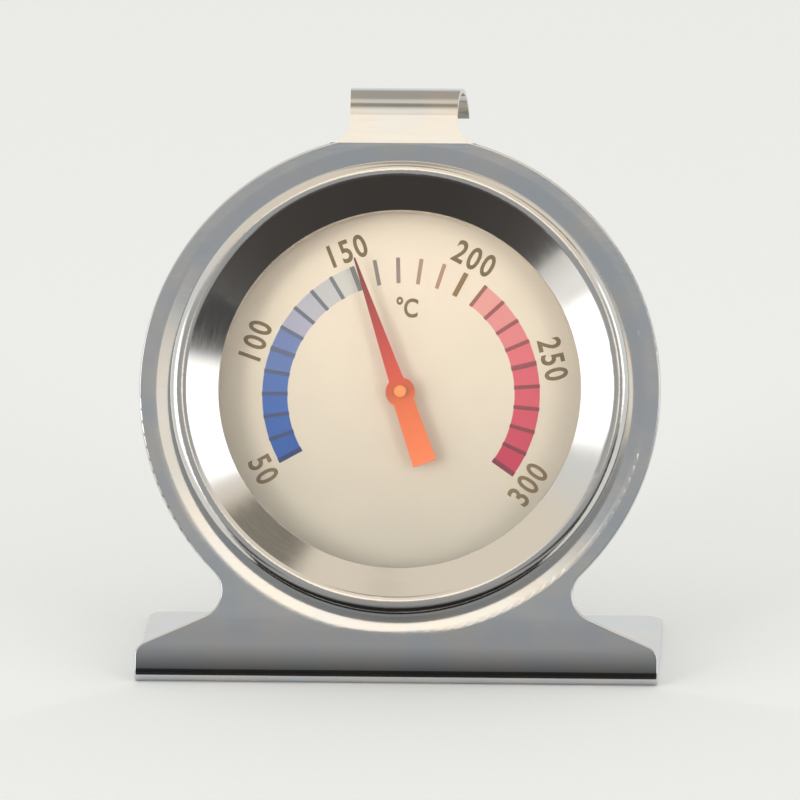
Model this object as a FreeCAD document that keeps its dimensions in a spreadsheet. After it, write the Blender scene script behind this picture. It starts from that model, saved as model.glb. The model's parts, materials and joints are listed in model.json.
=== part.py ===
import FreeCAD, Part
import Sketcher
import math
import os
import re

# Dial oven thermometer on a bent sheet stand: it stands on its foot or hangs from its hook.
#
# Row frame: origin at the middle of the foot's resting face, +Z up, dial facing -Y.
# Dial frame: origin on the front face of the stand's plate at the centre of its ring, +X to the
# right, +Y up along the leaning plate, +Z out of the dial towards the reader. Every sub-part is
# drawn in the dial frame, and all of them are laid back together by the one dial_frame placement.
# All sizes are in millimetres and degrees.

SIZES = {
    # stand: one piece of sheet with foot, plate, ring and hook
    "lean_angle": 22.0,  # plate's backward lean from upright
    "sheet_thickness": 0.5,
    "ring_radius": 30.0,
    "ring_rise": 4.4,  # from the base line up to the lowest point of the ring
    "rim_width": 1.4,  # flat rim round the dished ring
    "dish_curve": 5.7,  # radius of the bend between flat rim and dish
    "dish_angle": 6.0,  # slope of the dish down to the window
    "foot_width": 60.0,
    "foot_depth": 32.0,
    "foot_corner": 2.0,
    "bend_radius": 1.2,  # outside of the bend between plate and foot
    "side_height": 4.4,  # upright side of the base, from the base line
    "shoulder_angle": 24.5,  # slope of the base's shoulders
    "shoulder_reach": 15.0,  # half width at which the shoulder runs in under the ring
    "shoulder_corner": 1.8,
    "neck_round": 3.1,
    "edge_round": 0.24,  # soft front edge of the stamped outline
    "tab_drop": 1.2,  # from the top of the ring down to the crease where the tab starts
    "tab_lean": 8.5,  # how far the tab leans back from the plate
    "tab_width": 12.4,
    "tab_height": 2.2,  # from the top of the ring up to the hook's bend
    "tab_straight": 0.8,  # stretch with upright sides between the root's flare and the bend
    "hook_radius": 4.6,  # outside of the hook's curl
    "hook_arc": 148.0,  # from the plate's own direction round to the hook's end
    "hook_lip": 0.4,
    "hook_flare_right": 1.2,  # how much the hook's right side widens towards its end
    "hook_flare_left": 0.3,
    # bezel, window and case, clamped together by the bezel's crimped edge
    "bezel_inset": 3.6,  # from the ring's edge in to the bezel's outer wall
    "bezel_thickness": 0.4,
    "bezel_step": 0.4,  # joggle from the outer wall in to the sleeve
    "bezel_corner": 3.9,  # height of the sharp corner that the crest is rounded from
    "crest_round": 1.3,
    "funnel_angle": 30.0,
    "funnel_width": 5.6,  # from the outer wall in to the funnel's edge
    "lens_gap": 0.25,
    "lens_thickness": 1.2,
    "gasket_margin": 0.6,  # from the funnel's edge out to the gasket
    "gasket_width": 2.0,
    "spacer_height": 2.95,
    "spacer_width": 0.85,
    "dial_thickness": 0.4,
    "stack_clearance": 0.15,  # between the clamped stack and the sleeve round it
    "case_thickness": 0.4,
    "case_depth": 6.4,
    "flange_width": 1.05,
    "case_corner": 1.6,
    "crimp_clearance": 0.2,
    "vent_radius": 1.5,
    "vent_circle": 18.0,
    "vent_count": 4,
    # movement: bridge, bearings, coil, shaft and pointer
    "bridge_gap": 1.0,
    "bridge_thickness": 0.8,
    "bridge_width": 6.0,
    "bridge_span": 13.0,
    "bridge_foot": 5.0,
    "rivet_radius": 0.8,
    "rivet_head": 1.4,
    "rivet_head_height": 0.5,
    "rivet_inset": 2.4,  # from a foot's end to its rivet
    "bush_radius": 1.8,
    "bush_flange": 2.6,
    "bush_flange_height": 0.4,
    "bush_tail": 0.3,  # how far a bush passes through its plate
    "bush_wall": 0.3,
    "shaft_radius": 0.6,
    "running_clearance": 0.05,
    "fit_gap": 0.01,
    "washer_radius": 1.9,
    "washer_thickness": 0.2,
    "collet_radius": 1.6,
    "collet_play": 0.25,  # end play between the collet and the front bush
    "coil_width": 2.8,
    "coil_thickness": 0.25,
    "coil_pitch": 1.5,
    "coil_turns": 5,
    "coil_inset": 0.3,  # from the collet's front end back to the coil
    "anchor_width": 4.0,
    "anchor_foot": 5.0,
    "needle_height": 1.8,  # from the dial to the back of the needle
    "needle_thickness": 0.25,
    "needle_length": 16.6,
    "needle_width": 1.7,
    "needle_tip": 0.2,
    "tail_length": 8.8,
    "tail_width": 2.3,
    "tail_end_width": 2.8,
    "eye_radius": 1.7,
    "hub_radius": 1.2,
    "hub_length": 1.2,
    "cap_radius": 0.75,
    "cap_height": 0.6,
    "dial_hole_clearance": 0.25,
    "rest_angle": 19.5,  # needle at rest, anticlockwise from the top of the dial
}

# Levels and radii that follow from the sizes, written once and used by every sub-part they touch.
LEAN = "(lean_angle * 1deg)"
SLOPE = "(funnel_angle * 1deg)"
BASE_LINE = "(-ring_radius - ring_rise)"
BEND_TANGENT = "(bend_radius * tan((90deg + lean_angle * 1deg) / 2))"
BEND_FRONT = f"({BEND_TANGENT} - bend_radius)"
CREASE = "(ring_radius - tab_drop)"
TAB_LEAN = "(tab_lean * 1deg)"
HOOK_ARC = "(hook_arc * 1deg)"
HOOK_START = "(ring_radius + tab_height)"
HOOK_START_DEPTH = f"(({HOOK_START} - {CREASE}) * tan({TAB_LEAN}))"
HOOK_CENTRE = f"({HOOK_START} - hook_radius * sin({TAB_LEAN}))"
HOOK_CENTRE_DEPTH = f"({HOOK_START_DEPTH} + hook_radius * cos({TAB_LEAN}))"

BEZEL_RADIUS = "(ring_radius - bezel_inset)"
SLEEVE_RADIUS = f"({BEZEL_RADIUS} - bezel_step)"
WINDOW_RADIUS = f"({SLEEVE_RADIUS} + fit_gap)"
DISH_RADIUS = "(ring_radius - rim_width)"
DISH_ANGLE = "(dish_angle * 1deg)"
DISH_BEND = f"({DISH_RADIUS} - dish_curve * sin({DISH_ANGLE}))"
DISH_BEND_DROP = f"(dish_curve * (1 - cos({DISH_ANGLE})))"
DISH_DEPTH = f"({DISH_BEND_DROP} + ({DISH_BEND} - {WINDOW_RADIUS}) * tan({DISH_ANGLE}))"
DISH_BACK_CURVE = "(dish_curve - sheet_thickness)"
DISH_BACK_BEND = f"({DISH_RADIUS} - {DISH_BACK_CURVE} * sin({DISH_ANGLE}))"
DISH_BACK_DROP = f"(dish_curve - {DISH_BACK_CURVE} * cos({DISH_ANGLE}))"
BEZEL_SEAT = f"(-{DISH_BEND_DROP} - ({DISH_BEND} - {BEZEL_RADIUS}) * tan({DISH_ANGLE}))"
FUNNEL_EDGE = f"({BEZEL_RADIUS} - funnel_width)"
FUNNEL_SHEET = f"(bezel_thickness / cos({SLOPE}))"
FIT_RADIUS = f"({SLEEVE_RADIUS} - bezel_thickness - stack_clearance)"
CASE_RADIUS = f"({FIT_RADIUS} - flange_width)"


def funnel_top(radius):
    """Height of the funnel's front surface at a radius."""
    return f"(bezel_corner - ({BEZEL_RADIUS} - {radius}) * tan({SLOPE}))"


def funnel_under(radius):
    """Height of the funnel's back surface at a radius."""
    return f"({funnel_top(radius)} - {FUNNEL_SHEET})"


LENS_FRONT = f"({funnel_under(FUNNEL_EDGE)} - lens_gap)"
LENS_BACK = f"({LENS_FRONT} - lens_thickness)"
DIAL_FACE = f"({LENS_BACK} - spacer_height)"
DIAL_BACK = f"({DIAL_FACE} - dial_thickness)"
FLANGE_BACK = f"({DIAL_BACK} - case_thickness)"
FLOOR_INSIDE = f"({DIAL_BACK} - case_depth)"
FLOOR_OUTSIDE = f"({FLOOR_INSIDE} - case_thickness)"

BRIDGE_TOP = f"({DIAL_BACK} - bridge_gap)"
BRIDGE_UNDER = f"({BRIDGE_TOP} - bridge_thickness)"
BRIDGE_END = "(bridge_span + bridge_foot)"
REAR_BUSH_TOP = f"({FLOOR_INSIDE} + bush_flange_height)"
WASHER_TOP = f"({REAR_BUSH_TOP} + washer_thickness)"
COLLET_BACK = f"({WASHER_TOP} + running_clearance)"
COLLET_FRONT = f"({BRIDGE_UNDER} - bush_tail - collet_play)"
COIL_FRONT = f"({COLLET_FRONT} - coil_inset)"
COIL_BACK = f"({COIL_FRONT} - coil_width)"
COIL_START = "(collet_radius + fit_gap + coil_thickness / 2)"
COIL_END = f"({COIL_START} + coil_turns * coil_pitch)"
ANCHOR_FACE = f"({COIL_END} + coil_thickness / 2 + fit_gap)"
ANCHOR_BACK = f"({ANCHOR_FACE} + bridge_thickness)"
ANCHOR_END = f"({ANCHOR_FACE} + anchor_foot)"
FEET_TOP = f"({FLOOR_INSIDE} + bridge_thickness)"
RIVETS = [
    (f"({BRIDGE_END} - rivet_inset)", "0"),
    (f"(rivet_inset - {BRIDGE_END})", "0"),
    ("0", f"(rivet_inset - {ANCHOR_END})"),
]

NEEDLE_BACK = f"({DIAL_FACE} + needle_height)"
NEEDLE_FRONT = f"({NEEDLE_BACK} + needle_thickness)"
HUB_BACK = f"({NEEDLE_BACK} - hub_length)"
SHAFT_HOLE = "(shaft_radius + fit_gap)"
SHAFT_RUN = "(shaft_radius + running_clearance)"

doc = FreeCAD.newDocument("oven_thermometer")
sheet = doc.addObject("Spreadsheet::Sheet", "Sizes")
for row, (word, size) in enumerate(SIZES.items(), start=1):
    sheet.set(f"A{row}", word.replace("_", " "))
    sheet.set(f"B{row}", str(size))
    sheet.setAlias(f"B{row}", word)
doc.recompute()


def linked(formula):
    """A formula in size words, with each word pointing at its cell."""
    return re.sub(r"[a-z_]+", lambda m: "Sizes." + m[0] if m[0] in SIZES else m[0], formula)


def value(formula):
    """The number that a formula gives now, for the first drawing of a sketch."""
    found = dial_frame.evalExpression(linked(formula))
    return float(getattr(found, "Value", found))


dial_frame = doc.addObject("App::Placement", "dial_frame")
dial_frame.setExpression(
    "Placement",
    linked(
        f"placement(vector(0; -foot_depth / 2 - {BEND_FRONT} - {BASE_LINE} * sin({LEAN});"
        f" -{BASE_LINE} * cos({LEAN})); rotation(vector(1; 0; 0); 90 - lean_angle))"
    ),
)
doc.recompute()


# ---------------------------------------------------------------- drawing helpers


def new_body(name):
    """An empty body, laid in the dial frame."""
    body = doc.addObject("PartDesign::Body", name)
    body.Label = name
    body.setExpression("Placement", "dial_frame.Placement")
    return body


def new_sketch(body, name, plane, offset="0"):
    """A sketch on one of the body's own planes, moved along the plane's normal by offset."""
    sketch = body.newObject("Sketcher::SketchObject", name)
    face = next(f for f in body.Origin.OriginFeatures if f.Role == plane)
    sketch.AttachmentSupport = [(face, "")]
    sketch.MapMode = "FlatFace"
    sketch.setExpression("AttachmentOffset.Base.z", linked(offset))
    return sketch


def arc_between(start, end, radius, turn):
    """The arc under half a turn from start to end; turn is 1 for anticlockwise, -1 for clockwise."""
    chord = end - start
    rise = math.sqrt(max(radius**2 - chord.Length**2 / 4, 0.0))
    left = FreeCAD.Vector(-chord.y, chord.x, 0).normalize()
    centre = (start + end) / 2 + left * rise * turn
    first, last = (start, end) if turn > 0 else (end, start)
    angles = [math.atan2(p.y - centre.y, p.x - centre.x) for p in (first, last)]
    return Part.ArcOfCircle(Part.Circle(centre, FreeCAD.Vector(0, 0, 1), radius), *angles)


def draw_outline(sketch, corners):
    """A closed outline. A corner is (x, y), or (x, y, radius, turn) where an arc leads on from it."""
    places = [FreeCAD.Vector(value(c[0]), value(c[1]), 0) for c in corners]
    ends = []
    for index, corner in enumerate(corners):
        start, end = places[index], places[(index + 1) % len(places)]
        if len(corner) == 2:
            edge = sketch.addGeometry(Part.LineSegment(start, end))
            ends.append((edge, 1, 2))
            continue
        radius, turn = corner[2:]
        edge = sketch.addGeometry(arc_between(start, end, value(radius), turn))
        ends.append((edge, 1, 2) if turn > 0 else (edge, 2, 1))
        spot = sketch.addConstraint(Sketcher.Constraint("Radius", edge, value(radius)))
        sketch.setExpression(f"Constraints[{spot}]", linked(radius))
    for index, corner in enumerate(corners):
        edge, first, _ = ends[index]
        before, _, last = ends[index - 1]
        sketch.addConstraint(Sketcher.Constraint("Coincident", before, last, edge, first))
        for kind, formula in (("DistanceX", corner[0]), ("DistanceY", corner[1])):
            rule = Sketcher.Constraint(kind, -1, 1, edge, first, value(formula))
            spot = sketch.addConstraint(rule)
            sketch.setExpression(f"Constraints[{spot}]", linked(formula))


def draw_circle(sketch, radius, x="0", y="0"):
    """A circle with its centre and radius bound to the sheet."""
    centre = FreeCAD.Vector(value(x), value(y), 0)
    circle = sketch.addGeometry(Part.Circle(centre, FreeCAD.Vector(0, 0, 1), value(radius)))
    rules = [
        (Sketcher.Constraint("Radius", circle, value(radius)), radius),
        (Sketcher.Constraint("DistanceX", -1, 1, circle, 3, value(x)), x),
        (Sketcher.Constraint("DistanceY", -1, 1, circle, 3, value(y)), y),
    ]
    for rule, formula in rules:
        spot = sketch.addConstraint(rule)
        sketch.setExpression(f"Constraints[{spot}]", linked(formula))


def pad(body, name, sketch, length, side="One side", backward=False):
    """Adds the sketch's area, given a thickness."""
    feature = body.newObject("PartDesign::Pad", name)
    feature.Profile = sketch
    feature.SideType = side
    feature.Reversed = backward
    feature.setExpression("Length", linked(length))
    doc.recompute()
    return feature


def cut(body, name, sketch, length, side="Symmetric"):
    """Cuts the sketch's area out, over a length centred on the sketch."""
    before = body.Shape.Volume
    feature = body.newObject("PartDesign::Pocket", name)
    feature.Profile = sketch
    feature.SideType = side
    feature.setExpression("Length", linked(length))
    doc.recompute()
    if not body.Shape.Volume < before:
        raise ValueError(f"{body.Label}: {name} cuts nothing")
    return feature


def turn_round(body, name, corners):
    """Turns an outline of (radius, height) corners about the dial's axis."""
    sketch = new_sketch(body, name + "_section", "XZ_Plane")
    draw_outline(sketch, corners)
    feature = body.newObject("PartDesign::Revolution", name)
    feature.Profile = sketch
    feature.ReferenceAxis = (sketch, ["V_Axis"])
    feature.Angle = 360
    doc.recompute()
    return feature


def round_edges(body, name, radius, wanted):
    """Rounds those edges of the body so far that wanted(edge) picks."""
    base = body.Tip
    names = [f"Edge{n}" for n, edge in enumerate(base.Shape.Edges, start=1) if wanted(edge)]
    if not names:
        raise ValueError(f"{body.Label}: {name} finds no edge")
    feature = body.newObject("PartDesign::Fillet", name)
    feature.Base = (base, names)
    feature.setExpression("Radius", linked(radius))
    doc.recompute()
    return feature


def circle_at(radius, height):
    """Picks the full circles of a radius about the dial's axis at a height."""
    wanted_radius, wanted_height = value(radius), value(height)

    def test(edge):
        curve = edge.Curve
        if not isinstance(curve, Part.Circle) or abs(curve.Radius - wanted_radius) > 1e-4:
            return False
        return abs(curve.Center.z - wanted_height) < 1e-4

    return test


def ring_of(name, inner, outer, back, front):
    """A plain ring, or a disc where inner is None, turned about the dial's axis."""
    body = new_body(name)
    inside = "0" if inner is None else inner
    turn_round(body, "ring", [(inside, back), (outer, back), (outer, front), (inside, front)])
    return body


# ---------------------------------------------------------------- stand


def stand_bracket():
    """Foot, base, ring and hook in one piece of bent and stamped sheet."""
    body = new_body("stand_bracket")
    half_foot = "(foot_width / 2)"
    bend_line = f"({BASE_LINE} + {BEND_TANGENT})"
    side_top = f"({BASE_LINE} + side_height)"
    shoulder = "(shoulder_angle * 1deg)"
    shoulder_end = f"({side_top} + ({half_foot} - shoulder_reach) * tan({shoulder}))"

    # plate: ring and base, all behind the front face, with the ring cut off at the tab's crease
    ring = new_sketch(body, "ring_outline", "XY_Plane")
    draw_circle(ring, "ring_radius")
    pad(body, "ring_disc", ring, "sheet_thickness", backward=True)
    base = new_sketch(body, "base_outline", "XY_Plane")
    draw_outline(
        base,
        [
            (f"-{half_foot}", bend_line),
            (half_foot, bend_line),
            (half_foot, side_top),
            ("shoulder_reach", shoulder_end),
            ("-shoulder_reach", shoulder_end),
            (f"-{half_foot}", side_top),
        ],
    )
    pad(body, "base_plate", base, "sheet_thickness", backward=True)
    top = new_sketch(body, "above_crease", "XY_Plane")
    draw_outline(
        top,
        [
            ("-ring_radius", CREASE),
            ("ring_radius", CREASE),
            ("ring_radius", HOOK_START),
            ("-ring_radius", HOOK_START),
        ],
    )
    cut(body, "crease_cut", top, "sheet_thickness * 4")

    # corners of the outline, picked among the edges that run through the sheet
    thickness = value("sheet_thickness")
    side_place = value(side_top)

    def through(edge):
        ends = [v.Point for v in edge.Vertexes]
        if len(ends) != 2 or abs(abs(ends[0].z - ends[1].z) - thickness) > 1e-6:
            return None
        return ends[0] if (ends[0] - ends[1]).Length < thickness + 1e-6 else None

    def at_neck(edge):
        place = through(edge)
        on_ring = place and abs(math.hypot(place.x, place.y) - value("ring_radius")) < 1e-4
        return bool(on_ring) and place.y < 0

    def at_side_corner(edge):
        place = through(edge)
        return bool(place) and abs(place.y - side_place) < 1e-4

    round_edges(body, "necks", "neck_round", at_neck)
    round_edges(body, "side_corners", "shoulder_corner", at_side_corner)

    # foot, folded back under the plate, with its bend
    along = (f"sin({LEAN})", f"-cos({LEAN})")
    upward = (f"cos({LEAN})", f"sin({LEAN})")
    foot_end = f"(foot_depth + {BEND_FRONT})"

    def foot_point(distance, height):
        return (
            f"({BASE_LINE} + {distance} * {along[0]} + {height} * {upward[0]})",
            f"({distance} * {along[1]} + {height} * {upward[1]})",
        )

    foot = new_sketch(body, "foot_section", "YZ_Plane")
    draw_outline(
        foot,
        [
            foot_point(BEND_TANGENT, "0"),
            foot_point(foot_end, "0"),
            foot_point(foot_end, "sheet_thickness"),
            (*foot_point(BEND_TANGENT, "sheet_thickness"), "(bend_radius - sheet_thickness)", -1),
            (bend_line, "-sheet_thickness"),
            (bend_line, "0", "bend_radius", 1),
        ],
    )
    pad(body, "foot_plate", foot, "foot_width", "Symmetric")

    rear = [value(part) for part in foot_point(foot_end, "0")]
    up = [value(part) for part in upward]

    def at_rear_corner(edge):
        ends = [v.Point for v in edge.Vertexes]
        if len(ends) != 2 or abs(edge.Length - thickness) > 1e-6:
            return False
        low = min(ends, key=lambda p: p.y * up[0] + p.z * up[1])
        return math.hypot(low.y - rear[0], low.z - rear[1]) < 1e-4

    round_edges(body, "foot_corners", "foot_corner", at_rear_corner)

    # ring curved back towards the window, inside its flat rim
    disc = new_sketch(body, "dish_opening", "XY_Plane")
    draw_circle(disc, DISH_RADIUS)
    cut(body, "dish_cut", disc, "sheet_thickness * 4")
    turn_round(
        body,
        "dish",
        [
            (DISH_RADIUS, "-sheet_thickness"),
            (DISH_RADIUS, "0", "dish_curve", 1),
            (DISH_BEND, f"-{DISH_BEND_DROP}"),
            (WINDOW_RADIUS, f"-{DISH_DEPTH}"),
            (WINDOW_RADIUS, f"(-{DISH_DEPTH} - sheet_thickness / cos({DISH_ANGLE}))"),
            (DISH_BACK_BEND, f"-{DISH_BACK_DROP}", DISH_BACK_CURVE, -1),
        ],
    )

    # soft front edge round the stamped outline, up to the crease
    window = value(DISH_RADIUS) + 1e-3
    low = value(bend_line) - 1e-3

    def on_front_outline(edge):
        ends = [v.Point for v in edge.Vertexes]
        if edge.BoundBox.YLength < 1e-6 or edge.BoundBox.YMin < low:
            return False
        return all(abs(place.z) < 1e-6 and math.hypot(place.x, place.y) > window for place in ends)

    round_edges(body, "soft_edge", "edge_round", on_front_outline)

    # tab, leaning back from its crease, with sides that run out of the ring
    half_tab = "(tab_width / 2)"
    half_crease = f"sqrt(ring_radius^2 - {CREASE}^2)"
    sheet_back = (f"sheet_thickness * sin({TAB_LEAN})", f"sheet_thickness * cos({TAB_LEAN})")
    tab_end = [
        (HOOK_START, f"-{HOOK_START_DEPTH}"),
        (f"({HOOK_START} - {sheet_back[0]})", f"(-{HOOK_START_DEPTH} - {sheet_back[1]})"),
    ]
    tab = new_sketch(body, "tab_section", "YZ_Plane")
    draw_outline(tab, [(CREASE, "-sheet_thickness"), (CREASE, "0"), *tab_end])
    pad(body, "tab_plate", tab, f"2 * {half_crease}", "Symmetric")
    root_width = f"({half_crease} - {half_tab})"
    root_height = f"({HOOK_START} - tab_straight - {CREASE})"
    root_round = f"(({root_width}^2 + {root_height}^2) / (2 * {root_width}))"
    sides = new_sketch(body, "tab_sides", "XY_Plane")
    for side, turn in (("", -1), ("-", 1)):
        draw_outline(
            sides,
            [
                (f"{side}{half_crease}", CREASE, root_round, turn),
                (f"{side}{half_tab}", f"({HOOK_START} - tab_straight)"),
                (f"{side}{half_tab}", "(ring_radius + 2 * tab_height)"),
                (f"{side}ring_radius", "(ring_radius + 2 * tab_height)"),
                (f"{side}ring_radius", CREASE),
            ],
        )
    cut(body, "tab_trim", sides, "2 * hook_radius")

    # hook, curled back from the tab and a little wider towards its end
    inner_curl = "(hook_radius - sheet_thickness)"

    def curl_point(radius, lip):
        return (
            f"({HOOK_CENTRE} + {radius} * sin({HOOK_ARC}) + {lip} * cos({HOOK_ARC}))",
            f"({radius} * cos({HOOK_ARC}) - {lip} * sin({HOOK_ARC}) - {HOOK_CENTRE_DEPTH})",
        )

    curl = new_sketch(body, "hook_section", "YZ_Plane")
    draw_outline(
        curl,
        [
            (*tab_end[0], "hook_radius", -1),
            curl_point("hook_radius", "0"),
            curl_point("hook_radius", "hook_lip"),
            curl_point(inner_curl, "hook_lip"),
            (*curl_point(inner_curl, "0"), inner_curl, 1),
            tab_end[1],
        ],
    )
    widest = "(tab_width + 2 * hook_flare_right + 2 * hook_flare_left)"
    pad(body, "hook_curl", curl, widest, "Symmetric")
    trim = new_sketch(body, "hook_sides", "XZ_Plane", f"-({HOOK_START} + hook_radius)")
    deep = f"(-{HOOK_CENTRE_DEPTH} - hook_radius)"
    for side, flare in (("", "hook_flare_right"), ("-", "hook_flare_left")):
        draw_outline(
            trim,
            [
                (f"{side}{half_tab}", "sheet_thickness"),
                (f"{side}{widest}", "sheet_thickness"),
                (f"{side}{widest}", deep),
                (f"{side}({half_tab} + {flare})", deep),
                (f"{side}{half_tab}", tab_end[1][1]),
            ],
        )
    cut(body, "hook_trim", trim, "2 * (hook_radius + sheet_thickness)")
    return body


# ---------------------------------------------------------------- bezel, window and case


def bezel_ring():
    """Pressed ring: crest, funnel down to the lens, and a sleeve crimped behind the case."""
    body = new_body("bezel_ring")
    wall_inside = f"({BEZEL_RADIUS} - bezel_thickness)"
    sleeve_inside = f"({SLEEVE_RADIUS} - bezel_thickness)"
    crimp_inside = f"({CASE_RADIUS} + crimp_clearance)"
    crimp_back = f"({FLANGE_BACK} - bezel_thickness)"
    step_inside = f"({BEZEL_SEAT} + bezel_thickness)"
    turn_round(
        body,
        "pressed_ring",
        [
            (crimp_inside, crimp_back),
            (SLEEVE_RADIUS, crimp_back),
            (SLEEVE_RADIUS, BEZEL_SEAT),
            (BEZEL_RADIUS, BEZEL_SEAT),
            (BEZEL_RADIUS, "bezel_corner"),
            (FUNNEL_EDGE, funnel_top(FUNNEL_EDGE)),
            (FUNNEL_EDGE, funnel_under(FUNNEL_EDGE)),
            (wall_inside, funnel_under(wall_inside)),
            (wall_inside, step_inside),
            (sleeve_inside, step_inside),
            (sleeve_inside, FLANGE_BACK),
            (crimp_inside, FLANGE_BACK),
        ],
    )
    inner_round = "crest_round - bezel_thickness"
    round_edges(body, "crest", "crest_round", circle_at(BEZEL_RADIUS, "bezel_corner"))
    round_edges(body, "under_crest", inner_round, circle_at(wall_inside, funnel_under(wall_inside)))
    lip = circle_at(FUNNEL_EDGE, funnel_top(FUNNEL_EDGE))
    round_edges(body, "funnel_lip", "bezel_thickness / 3", lip)
    crimp = circle_at(SLEEVE_RADIUS, crimp_back)
    round_edges(body, "crimp_bend", "bezel_thickness", crimp)
    return body


def lens_gasket():
    """Wedge-shaped ring that holds the lens off the funnel's back."""
    body = new_body("lens_gasket")
    inside = f"({FUNNEL_EDGE} + gasket_margin)"
    outside = f"({inside} + gasket_width)"
    turn_round(
        body,
        "wedge",
        [
            (inside, LENS_FRONT),
            (outside, LENS_FRONT),
            (outside, funnel_under(outside)),
            (inside, funnel_under(inside)),
        ],
    )
    return body


def case_can():
    """Drawn cup behind the dial, with a clamped flange, vents and holes for what it carries."""
    body = new_body("case_can")
    inside = f"({CASE_RADIUS} - case_thickness)"
    turn_round(
        body,
        "cup",
        [
            ("0", FLOOR_OUTSIDE),
            (CASE_RADIUS, FLOOR_OUTSIDE),
            (CASE_RADIUS, FLANGE_BACK),
            (FIT_RADIUS, FLANGE_BACK),
            (FIT_RADIUS, DIAL_BACK),
            (inside, DIAL_BACK),
            (inside, FLOOR_INSIDE),
            ("0", FLOOR_INSIDE),
        ],
    )
    round_edges(body, "outer_corner", "case_corner", circle_at(CASE_RADIUS, FLOOR_OUTSIDE))
    inner_round = "case_corner - case_thickness"
    round_edges(body, "inner_corner", inner_round, circle_at(inside, FLOOR_INSIDE))

    holes = new_sketch(body, "movement_holes", "XY_Plane", FLOOR_OUTSIDE)
    draw_circle(holes, "bush_radius + fit_gap")
    for x, y in RIVETS:
        draw_circle(holes, "rivet_radius + fit_gap", x, y)
    cut(body, "movement_cut", holes, "case_thickness * 3")

    vent = new_sketch(body, "vent_hole", "XY_Plane", FLOOR_OUTSIDE)
    diagonal = "(vent_circle * sqrt(0.5))"
    draw_circle(vent, "vent_radius", diagonal, diagonal)
    first = cut(body, "vent_cut", vent, "case_thickness * 3")
    vents = body.newObject("PartDesign::PolarPattern", "vents")
    vents.Originals = [first]
    vents.Axis = (vent, ["N_Axis"])
    vents.Angle = 360
    vents.setExpression("Occurrences", linked("vent_count"))
    body.Tip = vents
    doc.recompute()
    return body


# ---------------------------------------------------------------- movement


def movement_bridge():
    """Hat-shaped strip over the coil, standing on the case's floor and carrying the front bush."""
    body = new_body("movement_bridge")
    inner = "(bridge_span - bridge_thickness)"
    strip = new_sketch(body, "strip_section", "XZ_Plane")
    half = [
        (BRIDGE_END, FLOOR_INSIDE),
        (BRIDGE_END, FEET_TOP),
        ("bridge_span", FEET_TOP),
        ("bridge_span", BRIDGE_TOP),
    ]
    arch = [(inner, BRIDGE_UNDER), (inner, FLOOR_INSIDE)]
    mirrored = [(f"-{x}", z) for x, z in reversed(half)]
    draw_outline(strip, half + mirrored + [(f"-{x}", z) for x, z in reversed(arch)] + arch)
    pad(body, "strip", strip, "bridge_width", "Symmetric")
    holes = new_sketch(body, "feet_holes", "XY_Plane", FLOOR_INSIDE)
    for x, y in RIVETS[:2]:
        draw_circle(holes, "rivet_radius + fit_gap", x, y)
    cut(body, "feet_cut", holes, "bridge_thickness * 4")
    bush = new_sketch(body, "bush_hole", "XY_Plane", BRIDGE_TOP)
    draw_circle(bush, "bush_radius + fit_gap")
    cut(body, "bush_cut", bush, "bridge_thickness * 4")
    return body


def case_rivets():
    """Three identical rivets: one through each foot of the bridge and one through the anchor."""
    stages = [
        ("rivet_head", f"({FLOOR_OUTSIDE} - rivet_head_height)", "rivet_head_height"),
        ("rivet_radius", FLOOR_OUTSIDE, "(case_thickness + bridge_thickness)"),
        ("rivet_head", FEET_TOP, "rivet_head_height"),
    ]
    pieces = []
    for number, (x, y) in enumerate(RIVETS, start=1):
        for stage, (radius, start, length) in enumerate(stages, start=1):
            piece = doc.addObject("Part::Cylinder", f"rivet_{number}_{stage}")
            piece.setExpression("Radius", linked(radius))
            piece.setExpression("Height", linked(length))
            for direction, formula in zip("xyz", (x, y, start)):
                piece.setExpression(f"Placement.Base.{direction}", linked(formula))
            pieces.append(piece)
    rivets = doc.addObject("Part::MultiFuse", "case_rivets")
    rivets.Label = "case_rivets"
    rivets.Shapes = pieces
    rivets.Refine = True
    rivets.setExpression("Placement", "dial_frame.Placement")
    return rivets


def front_bearing():
    """Flanged bush in the bridge."""
    body = new_body("front_bearing")
    back = f"({BRIDGE_UNDER} - bush_tail)"
    front = f"({BRIDGE_TOP} + bush_flange_height)"
    turn_round(
        body,
        "bush",
        [
            (SHAFT_RUN, back),
            ("bush_radius", back),
            ("bush_radius", BRIDGE_TOP),
            ("bush_flange", BRIDGE_TOP),
            ("bush_flange", front),
            (SHAFT_RUN, front),
        ],
    )
    return body


def rear_bearing():
    """Blind flanged bush in the case's floor, on which the shaft's end turns."""
    body = new_body("rear_bearing")
    back = f"({FLOOR_OUTSIDE} - bush_tail)"
    turn_round(
        body,
        "bush",
        [
            ("0", back),
            ("bush_radius", back),
            ("bush_radius", FLOOR_INSIDE),
            ("bush_flange", FLOOR_INSIDE),
            ("bush_flange", REAR_BUSH_TOP),
            (SHAFT_RUN, REAR_BUSH_TOP),
            (SHAFT_RUN, f"({back} + bush_wall)"),
            ("0", f"({back} + bush_wall)"),
        ],
    )
    return body


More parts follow.
